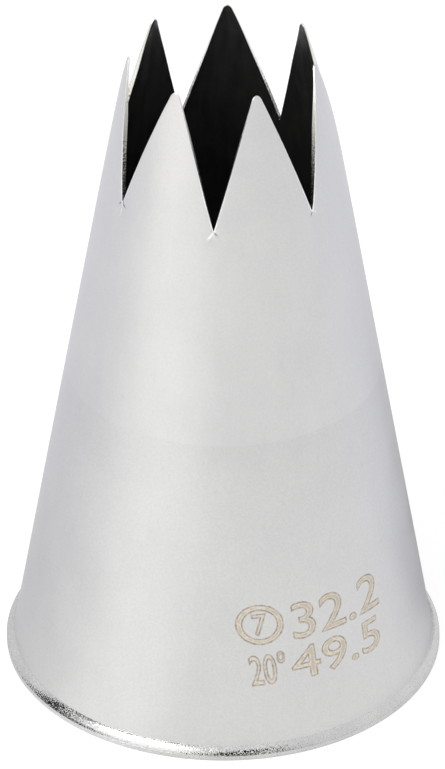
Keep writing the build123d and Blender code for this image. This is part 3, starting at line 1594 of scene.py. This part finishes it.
class FloorShade(NamedTuple):
    """A soft sector of the floor that mirrors darker.

    The heading is in degrees. The shade starts and is full where the cosine of the turn from the heading has
    those values, and it is gone at its reach from the foot.
    """

    heading: float
    start: float
    full: float
    amount: float
    reach: float

    def amount_at(self, nodes: Nodes, level: Socket, distance: Socket) -> Socket:
        """By how much the sector darkens the floor at a place.

        Args:
            nodes: the floor's node sheet.
            level: level direction from the axis to the place.
            distance: distance from the axis to the place.

        Returns:
            The amount.
        """
        inside = nodes.ramp(facing(nodes, level, self.heading), self.start, self.full, 0.0, self.amount)
        return nodes.product(inside, nodes.ramp(distance, 0.0, self.reach, 1.0, 0.0))


@dataclass
class Studio:
    """Pale floor, soft lamps, plain surroundings and the camera."""

    target: Vector = field(default_factory=lambda: Vector((0.0, 0.0, 21.92 * MM)))
    camera_azimuth: float = 4.4
    camera_elevation: float = 32.44
    camera_distance: float = 409.3 * MM
    camera_aside: float = 0.083 * MM
    camera_roll: float = 0.002
    camera_reach: Pair = (10.0 * MM, 20.0)
    lens: float = 264.65
    sensor: float = 36.0
    floor_rings: tuple[float, ...] = (0.006, 0.02, 0.06, 0.2, 0.6, 3.0)
    floor_steps: int = 96
    floor_tone: float = 0.35
    floor_contrast: float = 0.01
    floor_patches: float = 60.0 * MM
    floor_glow: float = 0.76
    mirrored_glow: float = 0.62
    # Painted cool shade: what the floor mirrors turns bluer towards the back.
    cool_share: float = 0.075
    cool_back: Ramp = Ramp(-0.5, 0.4, 0.0, 1.0)
    # A painted pool of light in what the floor mirrors, towards the key lamp, narrower near the foot.
    light_pool_heading: float = -35.0
    light_pool: float = 0.19
    light_pool_full: float = 0.99
    light_pool_narrow: float = 0.9
    light_pool_wide: float = 0.8
    narrow_reach: float = 70.0 * MM
    shades: tuple[FloorShade, ...] = (
        FloorShade(heading=184.4, start=-0.15, full=0.45, amount=0.09, reach=120.0 * MM),
        FloorShade(heading=165.0, start=0.7, full=0.92, amount=0.32, reach=115.0 * MM),
        FloorShade(heading=145.0, start=0.65, full=0.87, amount=0.27, reach=60.0 * MM),
        FloorShade(heading=110.0, start=0.86, full=0.97, amount=0.2, reach=40.0 * MM),
        FloorShade(heading=-115.0, start=0.6, full=0.95, amount=0.12, reach=250.0 * MM),
        FloorShade(heading=-104.0, start=0.3, full=0.95, amount=0.1, reach=45.0 * MM),
    )
    # Painted contact shadow: what the floor mirrors darkens to this share at the foot.
    contact_shadow: float = 0.8
    contact_reach: float = 2.0 * MM
    foot_radius: float = 15.7 * MM
    foot_edge: float = 0.1 * MM
    wall_tone: float = 0.9
    panels: tuple[WallPanel, ...] = (
        WallPanel(heading=184.0, half_width=75.0, low=-1.2, high=0.5, tone=0.84, warmth=-0.06, softness=30.0),
        WallPanel(heading=7.5, half_width=22.0, low=0.0, high=1.2, tone=0.84),
        WallPanel(heading=-75.0, half_width=62.0, low=0.72, high=1.2, tone=1.5),
        WallPanel(heading=-45.0, half_width=42.0, low=-0.02, high=0.37, tone=0.35, fade=0.12),
    )
    mirror_elevation: float = 36.2
    flags: tuple[Flag, ...] = (
        Flag(left=-8.7, right=96.0, tone=0.865),
        Flag(left=40.0, right=110.0, tone=0.95, left_softness=30.0),
        Flag(left=-110.0, right=-62.0, tone=0.86, right_softness=4.0),
        Flag(left=-9.0, right=15.5, tone=0.005, low_left=65.0, low_right=43.0, low_at=8.5),
        Flag(left=-66.0, right=-43.5, tone=0.005, low_left=69.0, low_at=-46.0, right_softness=5.0),
        Flag(left=-58.0, right=-34.0, tone=0.08, low_left=62.0, low_right=62.0, right_softness=4.0),
    )
    lamps: tuple[Softbox, ...] = (
        Softbox(
            name="key_softbox",
            azimuth=-42.0,
            elevation=34.0,
            distance=0.7,
            width=0.42,
            height=0.44,
            power=3.0,
            tint=(1.0, 0.97, 0.93),
        ),
    )

    def floor(self) -> bpy.types.Object:
        """Lays the pale floor in rings round the axis.

        Returns:
            The floor.
        """
        angle = np.linspace(0.0, 2 * math.pi, self.floor_steps, endpoint=False)[None, :]
        reach = np.array(self.floor_rings)[:, None]
        points = place(reach, angle, np.zeros_like(reach)).reshape(-1, 3)
        number = np.arange(points.shape[0]).reshape(reach.size, angle.size)
        inner, outer = number[:-1], number[1:]
        faces = np.stack((inner, outer, np.roll(outer, -1, axis=1), np.roll(inner, -1, axis=1)), axis=-1)
        mesh = bpy.data.meshes.new("floor")
        mesh.from_pydata(points.tolist(), [], [*faces.reshape(-1, 4).tolist(), number[0].tolist()])
        mesh.materials.append(self.floor_material())
        floor = put_in_scene("floor", mesh)
        return floor

    def floor_material(self) -> bpy.types.Material:
        """Makes the floor matt, lifted to white for the camera and in reflections, and clear from below.

        Returns:
            The material.
        """
        material = bpy.data.materials.new("pale_floor")
        material.use_nodes = True
        nodes = Nodes(material.node_tree)
        rays = nodes.add("ShaderNodeLightPath").outputs
        mirrored = nodes.math("MAXIMUM", rays["Is Glossy Ray"], rays["Is Transmission Ray"])
        spot = nodes.position((1.0, 1.0, 0.0))
        distance = nodes.vector("LENGTH", spot)
        level = nodes.vector("NORMALIZE", spot)
        # Painted pool of light, seen only in reflections.
        narrow_to = self.foot_radius + self.narrow_reach
        width = nodes.ramp(distance, self.foot_radius, narrow_to, self.light_pool_narrow, self.light_pool_wide)
        lit = facing(nodes, level, self.light_pool_heading)
        light_pool = nodes.ramp(lit, width, self.light_pool_full, 0.0, self.light_pool)
        # Painted contact shadow at the foot, in reflections only.
        contact_to = self.foot_radius + self.contact_reach
        contact_shadow = nodes.ramp(distance, self.foot_radius, contact_to, self.contact_shadow, 1.0)
        # Painted cool shade towards the back, in reflections only.
        back = facing(nodes, level, self.camera_azimuth + 180.0)
        cool = nodes.product(mirrored, nodes.ramp(back, *self.cool_back))
        tint = nodes.mix(cool, grey(1.0), grey(1.0, -self.cool_share))
        darker = nodes.total(*(shade.amount_at(nodes, level, distance) for shade in self.shades))
        shine = nodes.total(light_pool, self.mirrored_glow, nodes.product(darker, -1.0))
        white = nodes.product(rays["Is Camera Ray"], self.floor_glow)
        seen = nodes.total(white, nodes.product(mirrored, contact_shadow, shine))
        foot_from = self.foot_radius - self.foot_edge
        glow = nodes.product(seen, nodes.ramp(distance, foot_from, self.foot_radius, 0.0, 1.0))
        darkest, lightest = (grey(self.floor_tone * (1 + sign * self.floor_contrast)) for sign in (-1, 1))
        paint = nodes.mix(nodes.noise(self.floor_patches, detail=3.0), darkest, lightest)
        matt = nodes.add("ShaderNodeBsdfDiffuse", {"Color": paint})
        lift = nodes.add("ShaderNodeEmission", {"Color": tint, "Strength": glow})
        both = nodes.add("ShaderNodeAddShader", {0: matt.outputs[0], 1: lift.outputs[0]})
        below = nodes.add("ShaderNodeNewGeometry").outputs["Backfacing"]
        clear = nodes.add("ShaderNodeBsdfTransparent")
        shader = nodes.add("ShaderNodeMixShader", {0: below, 1: both.outputs[0], 2: clear.outputs[0]})
        nodes.add("ShaderNodeOutputMaterial", {"Surface": shader.outputs[0]})
        return material

    def mirror_facing(self, nodes: Nodes, ray: Socket) -> tuple[Socket, Socket]:
        """Works out how a mirror faces that shows a ray to the camera: halfway between the two.

        Args:
            nodes: the world's node sheet.
            ray: the ray, of length 1.

        Returns:
            The mirror's heading from the camera's own and its elevation, both in degrees.
        """
        halfway = nodes.vector("ADD", ray, direction(self.camera_azimuth, self.mirror_elevation))
        halfway = nodes.vector("NORMALIZE", halfway)
        aside = facing(nodes, halfway, self.camera_azimuth + 90.0)
        ahead = facing(nodes, halfway, self.camera_azimuth)
        heading = nodes.math("ARCTAN2", aside, ahead)
        elevation = nodes.math("ARCSINE", nodes.axis("Z", halfway))
        return nodes.math("DEGREES", heading), nodes.math("DEGREES", elevation)

    def surroundings(self) -> None:
        """Sets the world: pale walls with a few panels and flags, and white for the camera."""
        world = bpy.data.worlds.new("studio")
        world.use_nodes = True
        bpy.context.scene.world = world
        nodes = Nodes(world.node_tree)
        ray = nodes.add("ShaderNodeTexCoord").outputs["Generated"]
        height = nodes.axis("Z", ray)
        level = nodes.vector("NORMALIZE", nodes.vector("MULTIPLY", ray, (1.0, 1.0, 0.0)))
        sky = grey(self.wall_tone)
        for panel in self.panels:
            sky = nodes.mix(panel.share(nodes, level, height), sky, grey(panel.tone, panel.warmth))
        heading, elevation = self.mirror_facing(nodes, ray)
        for flag in self.flags:
            sky = nodes.mix(flag.share(nodes, heading, elevation), sky, grey(flag.tone))
        seen = nodes.add("ShaderNodeLightPath").outputs["Is Camera Ray"]
        back = nodes.add("ShaderNodeBackground", {"Color": nodes.mix(seen, sky, grey(1.0)), "Strength": 1.0})
        nodes.add("ShaderNodeOutputWorld", {"Surface": back.outputs[0]})

    def camera(self) -> bpy.types.Object:
        """Sets up the camera at the photograph's viewing angle.

        Returns:
            The camera.
        """
        data = bpy.data.cameras.new("camera")
        data.lens = self.lens
        data.sensor_width = self.sensor
        data.clip_start, data.clip_end = self.camera_reach
        camera = put_in_scene("camera", data)
        away = direction(self.camera_azimuth, self.camera_elevation)
        right = Vector((0.0, 0.0, 1.0)).cross(away).normalized()
        turn = away.to_track_quat("Z", "Y").to_matrix().to_4x4() @ Matrix.Rotation(self.camera_roll, 4, "Z")
        middle = self.target - right * self.camera_aside
        camera.matrix_world = Matrix.Translation(middle + away * self.camera_distance) @ turn
        bpy.context.scene.camera = camera
        return camera

    def build(self) -> None:
        """Puts up floor, surroundings, lamps and camera."""
        self.floor()
        self.surroundings()
        for lamp in self.lamps:
            lamp.build(self.target)
        self.camera()
        bpy.context.scene.view_settings.view_transform = "Standard"


def main() -> None:
    """Builds the studio and the three pieces in order, and reports each piece's faces and how far it stands
    out of its CAD box.
    """
    logging.basicConfig(level=logging.INFO, format="%(name)s: %(message)s")
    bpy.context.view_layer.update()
    Studio().build()
    form = ConeForm()
    bore = BoreFinish("bore_steel_painted_shade").material()
    edges = {Side.EDGE: EdgeHighlightFinish("edge_highlight_steel").material(), Side.CUT: CutFinish("cut_steel").material()}
    upper = {Side.OUTSIDE: ToothSatin("satin_steel_upper").material(), **edges, Side.INSIDE: bore}
    lower = {Side.OUTSIDE: MarkedSatin("satin_steel_lower").material(), Side.INSIDE: bore}
    rim = {Side.OUTSIDE: PolishedFinish("polished_steel_rim").material(), Side.INSIDE: bore}
    pieces = {
        "toothed_cone": ToothedCone(form).build(upper),
        "lower_cone": LowerCone(form, SizeMark(form)).build(lower),
        "flared_rim": FlaredRim(form).build(rim),
    }
    for node, piece in pieces.items():
        proud = stands_proud(piece, node) / MM
        log.info("%s: %d faces, %.4f mm proud of its CAD box", piece.name, len(piece.data.polygons), proud)


if __name__ == "__main__":
    main()
